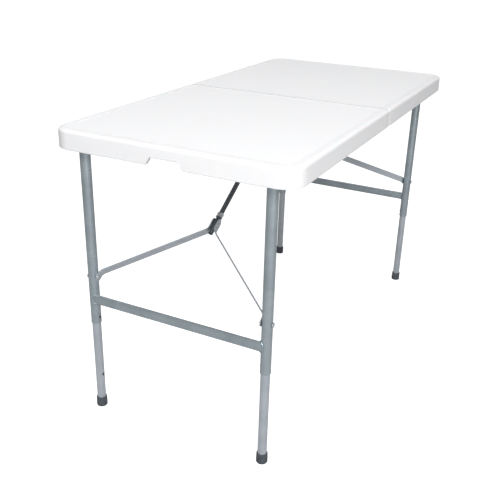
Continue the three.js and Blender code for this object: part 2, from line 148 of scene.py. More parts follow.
def filleted(points, radius, steps=4, closed=True):  # rounds the corners of a flat outline
    rounded = []
    count = len(points)
    for i, point in enumerate(points):
        corner = Vector(point[:2])
        r = point[2] if len(point) > 2 else radius
        before, after = Vector(points[i - 1][:2]) - corner, Vector(points[(i + 1) % count][:2]) - corner
        if r == 0 or (not closed and i in (0, count - 1)) or before.angle(after) > 3.1:
            rounded.append(corner)
            continue
        half = before.angle(after) / 2
        back = min(r / math.tan(half), 0.49 * before.length, 0.49 * after.length)
        r = back * math.tan(half)
        centre = corner + (before.normalized() + after.normalized()).normalized() * (r / math.sin(half))
        first = corner + before.normalized() * back - centre
        last = corner + after.normalized() * back - centre
        start = math.atan2(first.y, first.x)
        sweep = (math.atan2(last.y, last.x) - start + math.pi) % (2 * math.pi) - math.pi
        for k in range(steps + 1):
            angle = start + sweep * k / steps
            rounded.append(centre + Vector((math.cos(angle), math.sin(angle))) * r)
    return rounded


def bridge(first, second, count):  # faces between two rings of points that start at first and second
    turns = [(i, (i + 1) % count) for i in range(count)]
    return [(first + i, first + j, second + j, second + i) for i, j in turns]


def lathe(name, profile, at=Matrix.Identity(4), steps=48, reshape=None):  # turns an outline about Z
    verts, faces = [], []
    for r, height in profile:
        for k in range(steps):
            angle = 2 * math.pi * (k + 0.5) / steps
            point = Vector((r * math.cos(angle), r * math.sin(angle), height))
            verts.append(reshape(point) if reshape else point)
    rows = len(profile) if profile[0][0] > 0 else len(profile) - 1  # a tube's outline closes on itself
    for i in range(rows):
        faces += bridge(i * steps, (i + 1) % len(profile) * steps, steps)
    return newMesh(name, verts, faces, at)


def prism(name, shape, start, end, at=Matrix.Identity(4)):  # outline in XZ, carried along Y
    count = len(shape)
    verts = [(p[0], start, p[1]) for p in shape] + [(p[0], end, p[1]) for p in shape]
    faces = [tuple(range(count)), tuple(range(2 * count - 1, count - 1, -1))] + bridge(0, count, count)
    return newMesh(name, verts, faces, at)


def block(name, low, high):
    shape = [(low[0], low[2]), (high[0], low[2]), (high[0], high[2]), (low[0], high[2])]
    return prism(name, shape, low[1], high[1])


def rodAlong(name, aim, r, start, end, at, steps=32):
    return lathe(name, [(0, start), (r, start), (r, end), (0, end)], at @ aim, steps)


def arc(centre, r, start, end, steps):  # points on a flat arc, angles in degrees
    return [(centre[0] + r * math.cos(math.radians(start + (end - start) * k / steps)),
             centre[1] + r * math.sin(math.radians(start + (end - start) * k / steps)))
            for k in range(steps + 1)]


# node tree helpers

def addNode(tree, kind, settings=(), values=()):
    node = tree.nodes.new(kind)
    for key, value in dict(settings).items():
        setattr(node, key, value)
    for key, value in dict(values).items():
        if isinstance(value, bpy.types.NodeSocket):
            tree.links.new(value, node.inputs[key])
        else:
            node.inputs[key].default_value = value
    return node


def newTree(name, kind, inputs, outputs):
    tree = bpy.data.node_groups.new(name, kind)
    for way, sockets in (("INPUT", inputs), ("OUTPUT", outputs)):
        for label, socket in sockets.items():
            tree.interface.new_socket(label, in_out=way, socket_type="NodeSocket" + socket)
    return tree, tree.nodes.new("NodeGroupInput").outputs, tree.nodes.new("NodeGroupOutput").inputs


def runTree(piece, tree, values):
    step = piece.modifiers.new(tree.name, "NODES")
    step.node_group = tree
    for item in tree.interface.items_tree:
        if item.item_type == "SOCKET" and item.in_out == "INPUT" and item.name in values:
            step[item.identifier] = values[item.name]
    settle(piece)


def randomNumber(tree, low, high, seed):
    draw = addNode(tree, "FunctionNodeRandomValue", {"data_type": "FLOAT"}, {"Seed": seed})
    limits = [s for s in draw.inputs if s.type == "VALUE"]
    for socket, value in zip(limits, (low, high)):
        if isinstance(value, bpy.types.NodeSocket):
            tree.links.new(value, socket)
        else:
            socket.default_value = value
    return [s for s in draw.outputs if s.type == "VALUE"][0]


def endTree(tree, geometry, material, result):
    real = addNode(tree, "GeometryNodeRealizeInstances", (), {"Geometry": geometry})
    painted = addNode(tree, "GeometryNodeSetMaterial", (),
        {"Geometry": real.outputs[0], "Material": material})
    tree.links.new(painted.outputs[0], result["Geometry"])
    return tree


# shared finishes

def makeGrainGroup():  # fine raised grain: rounded pebbles mixed with irregular roughness
    tree, given, result = newTree("mouldedGrain", "ShaderNodeTree",
        {"Vector": "Vector", "Grain Scale": "Float", "Irregularity": "Float"}, {"Height": "Float"})
    pebbles = addNode(tree, "ShaderNodeTexVoronoi", {"feature": "SMOOTH_F1"},
        {"Vector": given["Vector"], "Scale": given["Grain Scale"], "Smoothness": 0.6})
    rough = addNode(tree, "ShaderNodeTexNoise", (),
        {"Vector": given["Vector"], "Scale": given["Grain Scale"], "Detail": 3.0})
    mixed = addNode(tree, "ShaderNodeMix", (),
        {"Factor": given["Irregularity"], "A": pebbles.outputs["Distance"], "B": rough.outputs["Fac"]})
    tree.links.new(mixed.outputs["Result"], result["Height"])
    return tree


def makeVariationGroup():  # slow drift of colour and gloss over a surface
    tree, given, result = newTree("finishVariation", "ShaderNodeTree",
        {"Vector": "Vector", "Patch Scale": "Float", "Light": "Color", "Dark": "Color",
         "Glossy": "Float", "Dull": "Float"}, {"Color": "Color", "Roughness": "Float"})
    broad = addNode(tree, "ShaderNodeTexNoise", (),
        {"Vector": given["Vector"], "Scale": given["Patch Scale"], "Detail": 5.0, "Roughness": 0.62})
    spread = addNode(tree, "ShaderNodeMapRange", (),
        {"Value": broad.outputs["Fac"], "From Min": 0.3, "From Max": 0.7})
    tint = addNode(tree, "ShaderNodeMix", {"data_type": "RGBA"}, {"Factor": spread.outputs["Result"]})
    tree.links.new(given["Dark"], tint.inputs[6])
    tree.links.new(given["Light"], tint.inputs[7])
    gloss = addNode(tree, "ShaderNodeMapRange", (), {"Value": broad.outputs["Fac"], "From Min": 0.3,
        "From Max": 0.7, "To Min": given["Dull"], "To Max": given["Glossy"]})
    tree.links.new(tint.outputs[2], result["Color"])
    tree.links.new(gloss.outputs["Result"], result["Roughness"])
    return tree


def makeWearGroup():  # small scuffs: broken specks inside a few rubbed patches
    tree, given, result = newTree("handlingWear", "ShaderNodeTree",
        {"Vector": "Vector", "Speck Scale": "Float", "Coverage": "Float"}, {"Mask": "Float"})
    specks = addNode(tree, "ShaderNodeTexNoise", (),
        {"Vector": given["Vector"], "Scale": given["Speck Scale"], "Detail": 6.0, "Roughness": 0.75})
    patches = addNode(tree, "ShaderNodeTexNoise", (), {"Vector": given["Vector"], "Scale": 7.0})
    both = addNode(tree, "ShaderNodeMath", {"operation": "MULTIPLY"},
        {0: specks.outputs["Fac"], 1: patches.outputs["Fac"]})
    edge = addNode(tree, "ShaderNodeMath", {"operation": "SUBTRACT"}, {0: 0.46, 1: given["Coverage"]})
    top = addNode(tree, "ShaderNodeMath", {"operation": "ADD"}, {0: edge.outputs[0], 1: 0.05})
    mask = addNode(tree, "ShaderNodeMapRange", (), {"Value": both.outputs[0],
        "From Min": edge.outputs[0], "From Max": top.outputs[0]})
    tree.links.new(mask.outputs["Result"], result["Mask"])
    return tree


shared = {"grain": makeGrainGroup(), "variation": makeVariationGroup(), "wear": makeWearGroup()}

common = {"metallic": 0.0, "coat": 0.0, "soft": 0.0, "depth": 0.05, "irregular": 0.7, "speckScale": 170.0,
    "bump": 0.6, "coatRoughness": 0.25, "softScale": 0.003}
finishes = {  # colours and gloss of each finish; grain sizes are cells to the metre
    "topField": {"light": (0.80, 0.80, 0.81), "dark": (0.775, 0.778, 0.79), "patches": 5.0,
        "glossy": 0.44, "dull": 0.56, "grain": 430.0, "irregular": 0.25, "depth": 0.45,
        "wear": 0.05, "worn": (0.72, 0.72, 0.72), "soft": 0.06},
    "topSmooth": {"light": (0.81, 0.81, 0.82), "dark": (0.785, 0.788, 0.80), "patches": 6.0,
        "glossy": 0.30, "dull": 0.42, "grain": 160.0, "irregular": 0.85,
        "wear": 0.05, "worn": (0.73, 0.73, 0.73), "soft": 0.06},
    # darker finish for the seam faces: painted shade standing in for the shadow inside the gap between the
    # halves
    "topSeamPaintedShade": {"light": (0.56, 0.56, 0.575), "dark": (0.47, 0.47, 0.485), "patches": 30.0,
        "glossy": 0.6, "dull": 0.75, "grain": 160.0, "irregular": 0.85,
        "wear": 0.12, "worn": (0.4, 0.4, 0.4)},
    "legPaint": {"light": (0.41, 0.468, 0.502), "dark": (0.315, 0.368, 0.4), "patches": 22.0,
        "glossy": 0.24, "dull": 0.38, "grain": 1300.0,
        "wear": 0.07, "worn": (0.44, 0.495, 0.53), "metallic": 0.75, "coat": 0.1},
    # lighter copy of the leg paint: painted light for the lower legs and brace arms, which catch more light
    "legPaintLit": {"light": (0.56, 0.605, 0.65), "dark": (0.45, 0.495, 0.54), "patches": 22.0,
        "glossy": 0.24, "dull": 0.38, "grain": 1300.0,
        "wear": 0.07, "worn": (0.6, 0.65, 0.69), "metallic": 0.7, "coat": 0.1},
    # near-black copy of the leg paint: painted shade for the link, which sits in the shadow under the table
    "linkPaintShaded": {"light": (0.105, 0.12, 0.132), "dark": (0.075, 0.087, 0.097), "patches": 20.0,
        "glossy": 0.32, "dull": 0.45, "grain": 1300.0,
        "wear": 0.13, "worn": (0.2, 0.21, 0.22), "metallic": 0.3, "coat": 0.2},
    "zinc": {"light": (0.62, 0.64, 0.66), "dark": (0.44, 0.46, 0.48), "patches": 160.0,
        "glossy": 0.24, "dull": 0.42, "grain": 900.0, "irregular": 0.9, "depth": 0.03,
        "wear": 0.12, "worn": (0.34, 0.35, 0.36), "metallic": 0.9},
    # dark steel for the hinge leaves and pins; on the snap buttons the darkness is painted shade for the
    # shadow in the hole round them
    "darkSteelAndButtonShade": {"light": (0.065, 0.07, 0.076), "dark": (0.038, 0.042, 0.047), "patches": 60.0,
        "glossy": 0.34, "dull": 0.5, "grain": 1100.0, "irregular": 0.8,
        "wear": 0.14, "worn": (0.2, 0.2, 0.2), "metallic": 0.6},
    "footPlastic": {"light": (0.068, 0.08, 0.096), "dark": (0.045, 0.054, 0.066), "patches": 30.0,
        "glossy": 0.5, "dull": 0.66, "grain": 1500.0, "irregular": 0.5, "depth": 0.12,
        "wear": 0.12, "worn": (0.11, 0.12, 0.13)},
    "clipPlastic": {"light": (0.7, 0.71, 0.72), "dark": (0.62, 0.63, 0.645), "patches": 40.0,
        "glossy": 0.36, "dull": 0.48, "grain": 1200.0, "irregular": 0.6, "depth": 0.06,
        "wear": 0.08, "worn": (0.52, 0.52, 0.52), "soft": 0.05},
}


def makeFinish(name, look):
    look = {**common, **look}
    material = bpy.data.materials.new(name)
    material.use_nodes = True
    tree = material.node_tree
    shader = tree.nodes["Principled BSDF"]
    where = tree.nodes.new("ShaderNodeTexCoord").outputs["Object"]

    def useGroup(key, values):
        return addNode(tree, "ShaderNodeGroup", {"node_tree": shared[key]}, {"Vector": where, **values})

    drift = useGroup("variation", {"Patch Scale": look["patches"], "Light": (*look["light"], 1),
        "Dark": (*look["dark"], 1), "Glossy": look["glossy"], "Dull": look["dull"]})
    wear = useGroup("wear", {"Speck Scale": look["speckScale"], "Coverage": look["wear"]})
    grain = useGroup("grain", {"Grain Scale": look["grain"], "Irregularity": look["irregular"]})
    worn = addNode(tree, "ShaderNodeMix", {"data_type": "RGBA"}, {"Factor": wear.outputs["Mask"]})
    tree.links.new(drift.outputs["Color"], worn.inputs[6])
    worn.inputs[7].default_value = (*look["worn"], 1)
    bump = addNode(tree, "ShaderNodeBump", (), {"Strength": look["bump"],
        "Distance": look["depth"] * mm, "Height": grain.outputs["Height"]})
    tree.links.new(worn.outputs[2], shader.inputs["Base Color"])
    tree.links.new(drift.outputs["Roughness"], shader.inputs["Roughness"])
    tree.links.new(bump.outputs["Normal"], shader.inputs["Normal"])
    for label, key in (("Metallic", "metallic"), ("Coat Weight", "coat"),
                       ("Coat Roughness", "coatRoughness"), ("Subsurface Weight", "soft"),
                       ("Subsurface Scale", "softScale")):
        shader.inputs[label].default_value = look[key]
    return material


finish = {name: makeFinish(name, look) for name, look in finishes.items()}
print("stage 2: finishes ready,", len(finish))


def place(piece, end, body, finishName, nodes=(), degrees=34):  # turns, paints and mounts a piece
    piece.data.transform(endTurn[end])
    if not piece.data.materials:
        piece.data.materials.append(finish[finishName])
    shade(piece, degrees)
    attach(piece, body)
    if nodes:
        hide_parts(*nodes)
    return piece


# top halves

topHalf = {"wall": 12, "corner": 50, "seamCorner": 5, "fillet": 8, "seamFillet": 2, "draft": 0.6,
    "border": 12.5, "seamBorder": 8, "fieldDrop": 0.4, "gripFoot": 92, "gripHead": 68, "gripHeight": 17,
    "hingeNotch": (247.7, 283.6), "hingeNotchHeight": 7.7}
kissOff = {"pitch": 48, "outer": 10, "inner": 4.5, "depth": 8, "keepOff": 14}


def bottomRise(wall, y):  # how far a rim point's lower edge is lifted by the grip or a hinge notch
    y = abs(y)
    if wall == "end":
        foot, head = topHalf["gripFoot"] / 2, topHalf["gripHead"] / 2
        share = max(0.0, min(1.0, (foot - y) / (foot - head)))
        return topHalf["gripHeight"] * (share * share * (3 - 2 * share) * 0.45 + share * 0.55)
    low, high = topHalf["hingeNotch"]
    return topHalf["hingeNotchHeight"] if wall == "seam" and low < y < high else 0.0


def rimRing(inset, seamInset, level, followsRise=0):
    # one closed ring of the half, anticlockwise from above; every ring has the same points in order
    halfWidth, big = topHigh.y - inset, topHalf["corner"] - inset
    x0, x1, small = topLow.x + inset, topHigh.x - seamInset, topHalf["seamCorner"]
    limit = halfWidth - small
    ring = []

    def add(x, y, wall=""):
        ring.append((x, y, level + followsRise * bottomRise(wall, y)))

    def addCorner(x, y, r, start, steps):
        for px, py in arc((x, y), r, start, start + 90, steps):
            add(px, py)

    gripMarks = [180, 110, 62, 50, 47] + [46 - 0.75 * k for k in range(17)] + [33, 31, 24, 12]
    for y in gripMarks + [0] + [-y for y in reversed(gripMarks)]:
        add(x0, y, "end")
    addCorner(x0 + big, -halfWidth + big, big, 180, 20)
    for x in (-500, -400, -300, -200, -100, -40):
        add(x, -halfWidth)
    addCorner(x1 - small, -limit, small, 270, 6)
    low, high = topHalf["hingeNotch"]
    marks = [high + 0.5, high - 0.1, 275, 266, 256, low + 0.1, low - 0.5, 200, 120, 50]
    for y in [-y for y in marks] + [0] + list(reversed(marks)):
        add(x1, max(-limit, min(limit, y)), "seam")
    addCorner(x1 - small, limit, small, 0, 6)
    for x in (-40, -100, -200, -300, -400, -500):
        add(x, halfWidth)
    addCorner(x0 + big, halfWidth - big, big, 90, 20)
    return ring


def makeKissOffTree():  # pushes round dimples up into the underside, one to each square of a grid
    tree, given, result = newTree("kissOffs", "GeometryNodeTree",
        {"Geometry": "Geometry", "Pitch": "Float", "Grid Corner": "Vector", "Outer Radius": "Float",
         "Inner Radius": "Float", "Depth": "Float", "Material": "Material"}, {"Geometry": "Geometry"})
    at = tree.nodes.new("GeometryNodeInputPosition").outputs[0]
    mask = addNode(tree, "GeometryNodeInputNamedAttribute", {"data_type": "FLOAT"}, {"Name": "kiss"})
    shifted = addNode(tree, "ShaderNodeVectorMath", {"operation": "SUBTRACT"},
        {0: at, 1: given["Grid Corner"]})
    pitches = addNode(tree, "ShaderNodeCombineXYZ", (), {0: given["Pitch"], 1: given["Pitch"], 2: 1.0})
    cells = addNode(tree, "ShaderNodeVectorMath", {"operation": "DIVIDE"},
        {0: shifted.outputs[0], 1: pitches.outputs[0]})
    share = addNode(tree, "ShaderNodeVectorMath", {"operation": "FRACTION"}, {0: cells.outputs[0]})
    centred = addNode(tree, "ShaderNodeVectorMath", {"operation": "SUBTRACT"},
        {0: share.outputs[0], 1: (0.5, 0.5, 0)})
    flat = addNode(tree, "ShaderNodeVectorMath", {"operation": "MULTIPLY"},
        {0: centred.outputs[0], 1: (1, 1, 0)})
    away = addNode(tree, "ShaderNodeVectorMath", {"operation": "LENGTH"}, {0: flat.outputs[0]})
    reach = addNode(tree, "ShaderNodeMath", {"operation": "MULTIPLY"},
        {0: away.outputs["Value"], 1: given["Pitch"]})
    rise = addNode(tree, "ShaderNodeMapRange", {"interpolation_type": "SMOOTHSTEP"},
        {"Value": reach.outputs[0], "From Min": given["Inner Radius"],
         "From Max": given["Outer Radius"], "To Min": given["Depth"], "To Max": 0.0})
    masked = addNode(tree, "ShaderNodeMath", {"operation": "MULTIPLY"},
        {0: rise.outputs["Result"], 1: mask.outputs[0]})
    lift = addNode(tree, "ShaderNodeCombineXYZ", (), {2: masked.outputs[0]})
    moved = addNode(tree, "GeometryNodeSetPosition", (),
        {"Geometry": given["Geometry"], "Offset": lift.outputs[0]})
    return endTree(tree, moved.outputs[0], given["Material"], result)


def makeUnderside(border, tree):  # the flat under the slab, meshed finely round each dimple
    pitch, keepOff = kissOff["pitch"], kissOff["keepOff"]
    low = Vector([min(p[k] for p in border) for k in (0, 1)])
    high = Vector([max(p[k] for p in border) for k in (0, 1)])
    counts = [int((high[k] - low[k] - 8) // pitch) for k in (0, 1)]
    corner = [(low[k] + high[k] - counts[k] * pitch) / 2 for k in (0, 1)]
    fittings = [boxOf(f"{node}_a_{side}") for node in ("leg_bracket", "leg_clip", "hinge_leaf")
                for side in sideWay] + [boxOf("link_bracket_a")]
    points, marks = [], []
    for p in border:
        if not points or (Vector(p[:2]) - points[-1]).length > 0.01:
            points.append(Vector(p[:2]))
            marks.append(0.0)
    rim = len(points)
    for i in range(counts[0]):
        for j in range(counts[1]):
            x, y = corner[0] + (i + 0.5) * pitch, corner[1] + (j + 0.5) * pitch
            free = all(x < a.x - keepOff or x > b.x + keepOff or y < a.y - keepOff or y > b.y + keepOff
                       for a, b in fittings)
            if not free:
                continue
            for r, steps in ((kissOff["outer"] + 0.6, 20), (kissOff["outer"] - 0.8, 20),
                             (7.8, 20), (6.2, 20), (kissOff["inner"] - 0.1, 16), (2, 8)):
                for k in range(steps):
                    angle = 2 * math.pi * k / steps
                    points.append(Vector((x + r * math.cos(angle), y + r * math.sin(angle))))
                    marks.append(1.0)
    loop = [(i, (i + 1) % rim) for i in range(rim)]
    verts, _, faces, _, _, _ = delaunay_2d_cdt(points, loop, [], 1, 1e-4)
    sheet = newMesh("underside", [(v.x, v.y, slabZ) for v in verts], [tuple(f) for f in faces])
    marked = {(round(p.x, 1), round(p.y, 1)) for p, m in zip(points, marks) if m}
    kiss = sheet.data.attributes.new("kiss", "FLOAT", "POINT")
    for i, v in enumerate(sheet.data.vertices):
        kiss.data[i].value = float((round(v.co.x / mm, 1), round(v.co.y / mm, 1)) in marked)
    runTree(sheet, tree, {"Pitch": pitch * mm, "Grid Corner": (corner[0] * mm, corner[1] * mm, 0.0),
        "Outer Radius": kissOff["outer"] * mm, "Inner Radius": kissOff["inner"] * mm,
        "Depth": kissOff["depth"] * mm, "Material": finish["topSmooth"]})
    return sheet


def makeTopHalf(end, tree):
    wall, fillet, drop, draft = (topHalf[k] for k in ("wall", "fillet", "fieldDrop", "draft"))
    seamFillet = topHalf["seamFillet"]
    out, seam = fillet + topHalf["border"], seamFillet + topHalf["seamBorder"]
    rings = [rimRing(out + 3.4, seam + 3.4, topZ - drop), rimRing(out + 1.6, seam + 1.6, topZ - drop),
             rimRing(out + 1.1, seam + 1.1, topZ - drop * 0.8),
             rimRing(out + 0.5, seam + 0.5, topZ - drop * 0.2), rimRing(out, seam, topZ),
             rimRing(fillet + 1.2, 2.6, topZ)]
    for k in range(9):  # the rounded top edge
        angle = math.pi / 2 * (1 - k / 8)
        inset = draft + (fillet - draft) * (1 - math.cos(angle))
        rings.append(rimRing(inset, seamFillet * (1 - math.cos(angle)),
                             topZ - fillet * (1 - math.sin(angle))))
    rings.append(rimRing(draft * 0.9, 0, topZ - fillet - 2))
    for inset, height in ((0.05, 3.4), (0, 2.2), (0.25, 1.1), (0.8, 0.4), (1.8, 0), (wall - 1.8, 0),
                          (wall - 0.7, 0.5), (wall - 0.1, 1.6), (wall, 3)):
        rings.append(rimRing(inset, inset, rimZ + height, 1))
    for inset, height in ((0, -4), (0.1, -3), (0.5, -1.4), (1.4, -0.4), (2.6, 0)):
        rings.append(rimRing(wall + inset, wall + inset, slabZ + height))
    count = len(rings[0])
    faces = [tuple(range(count))]
    for k in range(len(rings) - 1):
        faces += bridge(k * count, (k + 1) * count, count)
    piece = newMesh(f"topHalf_{end}", [v for ring in rings for v in ring], faces)
    sheet = makeUnderside(rings[-1], tree)
    work = bmesh.new()
    work.from_mesh(piece.data)
    work.from_mesh(sheet.data)
    bmesh.ops.remove_doubles(work, verts=work.verts, dist=2e-5)
    bmesh.ops.recalc_face_normals(work, faces=work.faces)
    gaps = sum(1 for edge in work.edges if len(edge.link_faces) != 2)
    for face in work.faces:  # the field inside the step takes the pebbled finish
        level = face.calc_center_median()
        face.material_index = int(face.normal.z > 0.9 and abs(level.z / mm - topZ + drop) < 0.02)
        if face.normal.x > 0.12 and level.x / mm > topHigh.x - 2.1:
            face.material_index = 2  # the joint between the halves takes a darker finish: painted shade for the gap
    work.to_mesh(piece.data)
    work.free()
    bpy.data.objects.remove(sheet)
    for name in ("topSmooth", "topField", "topSeamPaintedShade"):
        piece.data.materials.append(finish[name])
    place(piece, end, f"half_{end}", "topSmooth", [f"top_half_{end}"], 40)
    print("  top half", end, len(piece.data.polygons), "faces,", gaps, "open edges")


kissOffTree = makeKissOffTree()
for end in endTurn:
    makeTopHalf(end, kissOffTree)
print("stage 3: top halves")


# leg frames

leg = {"r": 12.5, "wall": 1.2, "bead": 0.4, "buttonHole": 3.9, "buttonRise": 16, "travel": 168,
    "lowerWall": 1, "pivotWall": 1.5}
foot = {"grooves": 3, "firstGroove": 7.5, "groovePitch": 4.8, "grooveDepth": 0.75, "taper": 0.08, "sole": 4}


def makeUpperLeg(end, side):
    way = sideWay[side]
    r, bore, hole = leg["r"], leg["r"] - leg["wall"], jointZ + leg["buttonRise"]
    top, copeR = upperHigh.z, tubeR + gap

    def cope(point):  # the top edge is cut to sit round the pivot tube
        if point.z < top - 0.01:
            return point
        x = abs(point.x)
        dip = legPivot.z - math.sqrt(copeR ** 2 - x * x) if x < copeR else top
        return Vector((point.x, point.y, dip))

    outer = [(bore, jointZ + 0.2), (bore + 0.3, jointZ), (r - 0.3, jointZ), (r + 0.1, jointZ + 0.3),
             (r + leg["bead"] - 0.15, jointZ + 1.1), (r + leg["bead"], jointZ + 1.8),
             (r + leg["bead"], jointZ + 3.0), (r + leg["bead"] - 0.2, jointZ + 3.9),
             (r + 0.1, jointZ + 5.2), (r, jointZ + 6), (r, hole - 6), (r, hole + 6), (r, top)]
    profile = outer + [(bore, top), (bore, hole + 6), (bore, hole - 6)]
    stand = Matrix.Translation((legX, way * legY, 0))
    piece = lathe(f"upperLeg_{end}_{side}", profile, stand, 64, cope)
    combine(piece, [buttonCutter(way, hole)], "DIFFERENCE")
    place(piece, end, f"leg_frame_{end}", "legPaint", [f"upper_leg_{end}_{side}"])


def buttonCutter(way, z):  # from the leg's middle to past its inner face
    inward = Matrix.Translation((legX, way * legY, z)) @ Matrix.Scale(-way, 4, (0, 1, 0))
    return rodAlong("cutter", aimY, leg["buttonHole"], 0, 25, inward, 28)


def makeLowerLeg(end, side):
    way = sideWay[side]
    bore, hole = lowerR - leg["lowerWall"], jointZ + leg["buttonRise"]
    low, high = lowerLow.z, lowerHigh.z
    holes = (hole - leg["travel"], hole)  # the first holds the leg stored, the second holds it out
    marks = [z + d for z in holes for d in (-6, 6)]
    profile = [(lowerR - 0.3, low), (lowerR, low + 0.3)] + [(lowerR, z) for z in marks] + \
        [(lowerR, high - 0.3), (lowerR - 0.3, high), (bore, high)] + \
        [(bore, z) for z in reversed(marks)] + [(bore, low)]
    piece = lathe(f"lowerLeg_{end}_{side}", profile, Matrix.Translation((legX, way * legY, 0)), 64)
    for z in reversed(holes):
        combine(piece, [buttonCutter(way, z)], "DIFFERENCE")
    # the lower leg takes the lighter copy of the leg paint: painted light
    place(piece, end, f"lower_leg_{end}_{side}", "legPaintLit", [f"lower_leg_{end}_{side}"])


def makeFootCap(end, side):
    low, high = boxOf("foot_cap_a_left")
    r, top, sole = (high.y - low.y) / 2, high.z, foot["sole"]
    profile = [(0, 1.0), (3.6, 1.0), (4.2, 0.2), (7.4, 0.2), (8, 1.0), (9.2, 1.0), (9.8, 0), (r - 2.2, 0),
               (r - 0.8, 0.6), (r, 2.2), (r, 6)]
    for k in range(foot["grooves"]):
        z, skin = foot["firstGroove"] + foot["groovePitch"] * k, r - foot["taper"] * k
        profile += [(skin, z), (r - foot["grooveDepth"], z + 0.7), (r - foot["grooveDepth"], z + 1.5),
                    (skin, z + 2.2)]
    profile += [(r - 0.3, top - 3.5), (r - 0.5, top - 1.4), (r - 1.0, top - 0.4), (r - 1.7, top),
                (lowerR + 0.6, top), (lowerR + gap, top - 0.4), (lowerR + gap, sole), (0, sole)]
    stand = Matrix.Translation((legX, sideWay[side] * legY, 0))
    piece = lathe(f"footCap_{end}_{side}", profile, stand, 56)
    place(piece, end, f"lower_leg_{end}_{side}", "footPlastic", [f"foot_cap_{end}_{side}"], 30)


def makeSnapButton(end, side):
    way = sideWay[side]
    low, high = boxOf("snap_button_a_left")
    start, tip, r = legY - high.y, legY - low.y, (high.z - low.z) / 2
    profile = [(0, start), (r, start), (r, tip - 1.6), (r - 0.15, tip - 1.1), (r - 0.6, tip - 0.55),
               (r - 1.4, tip - 0.18), (r - 2.4, tip - 0.03), (0, tip)]
    inward = Matrix.Translation((legX, way * legY, jointZ + leg["buttonRise"])) @ \
        Matrix.Scale(-way, 4, (0, 1, 0))
    piece = lathe(f"snapButton_{end}_{side}", profile, inward @ aimY, 32)
    # the dark finish on the button is painted shade for the shadow in its hole
    place(piece, end, f"snap_button_{end}_{side}", "darkSteelAndButtonShade", [f"snap_button_{end}_{side}"], 50)


def barOutline(height, depth, steps=10):  # a flattened oval: round above and below
    r, straight = depth / 2, (height - depth) / 2
    return arc((0, straight), r, 0, 180, steps) + arc((0, -straight), r, 180, 360, steps)


def makeCrossbar(end):
    height, depth = barHigh.z - barLow.z, barHigh.x - barLow.x
    centre, reach = middleOf("crossbar_a"), leg["r"] + gap
    outer = barOutline(height, depth)
    inner = barOutline(height - 2 * leg["wall"], depth - 2 * leg["wall"])
    stations = [-1, -0.6, -0.2, 0.2, 0.6, 1]
    verts = []
    for loop in (outer, inner):
        for along in stations:
            for x, z in loop:
                away = centre.x + x - legX
                stop = legY - math.sqrt(max(0.0, reach ** 2 - away ** 2))  # cut round the leg
                verts.append((centre.x + x, along * stop, centre.z + z))
    n, rows = len(outer), len(stations)
    faces = []
    for skin in (0, 1):
        for k in range(skin * rows, (skin + 1) * rows - 1):
            faces += bridge(k * n, (k + 1) * n, n)
    for k in (0, rows - 1):
        faces += bridge(k * n, (rows + k) * n, n)
    piece = newMesh(f"crossbar_{end}", verts, faces)
    place(piece, end, f"leg_frame_{end}", "legPaint", [f"crossbar_{end}"])


def makePivotTube(end):
    r, bore, reach = tubeR, tubeR - leg["pivotWall"], tubeHigh.y
    profile = filleted([(r, -reach), (r, reach), (bore, reach), (bore, -reach)], 0.4, 3)
    piece = lathe(f"pivotTube_{end}", profile, Matrix.Translation((legX, 0, legPivot.z)) @ aimY, 48)
    place(piece, end, f"leg_frame_{end}", "legPaint", [f"pivot_tube_{end}"])


def makeWeldTree():  # a row of overlapping blobs along each line it is given
    tree, given, result = newTree("weldBead", "GeometryNodeTree",
        {"Geometry": "Geometry", "Blob Spacing": "Float", "Blob Radius": "Float", "Unevenness": "Float",
         "Seed": "Int", "Material": "Material"}, {"Geometry": "Geometry"})
    line = addNode(tree, "GeometryNodeMeshToCurve", (), {0: given["Geometry"]})
    spaced = addNode(tree, "GeometryNodeResampleCurve", {"mode": "LENGTH"},
        {"Curve": line.outputs[0], "Length": given["Blob Spacing"]})
    blob = addNode(tree, "GeometryNodeMeshIcoSphere", (),
        {"Radius": given["Blob Radius"], "Subdivisions": 2})
    least = addNode(tree, "ShaderNodeMath", {"operation": "SUBTRACT"}, {0: 1.0, 1: given["Unevenness"]})
    most = addNode(tree, "ShaderNodeMath", {"operation": "ADD"}, {0: 1.0, 1: given["Unevenness"]})
    size = randomNumber(tree, least.outputs[0], most.outputs[0], given["Seed"])
    blobs = addNode(tree, "GeometryNodeInstanceOnPoints", (),
        {"Points": spaced.outputs[0], "Instance": blob.outputs[0], "Scale": size})
    return endTree(tree, blobs.outputs[0], given["Material"], result)


weld = {"spacing": 1.25, "radius": 2.0, "legProud": 1.0, "proud": 0.5, "unevenness": 0.1, "seed": 7}


def makeWelds(end, tree):
    verts, edges = [], []
    centre, reach = middleOf("crossbar_a"), leg["r"] + weld["legProud"]
    proud = weld["proud"]
    ends = barOutline(barHigh.z - barLow.z + 2 * proud, barHigh.x - barLow.x + 2 * proud, 14)
    seamR = tubeR + proud
    for way in (1, -1):
        loops = [[], []]  # one round the crossbar's end and one round the top of the leg
        for x, z in ends:
            away = max(-reach, centre.x + x - legX)
            loops[0].append((centre.x + x, way * (legY - math.sqrt(reach ** 2 - away ** 2)), centre.z + z))
        for k in range(40):
            angle = 2 * math.pi * k / 40
            x, y = seamR * math.cos(angle), reach * math.sin(angle)
            loops[1].append((legX + x, way * legY + y,
                             legPivot.z - math.sqrt(max(0.0, seamR ** 2 - x * x))))
        for loop in loops:
            first = len(verts)
            verts += loop
            edges += [(first + i, first + (i + 1) % len(loop)) for i in range(len(loop))]
    piece = newMesh(f"welds_{end}", verts, [], edges=edges)
    runTree(piece, tree, {"Blob Spacing": weld["spacing"] * mm, "Blob Radius": weld["radius"] * mm,
        "Unevenness": weld["unevenness"], "Seed": weld["seed"], "Material": finish["legPaint"]})
    place(piece, end, f"leg_frame_{end}", "legPaint", degrees=180)


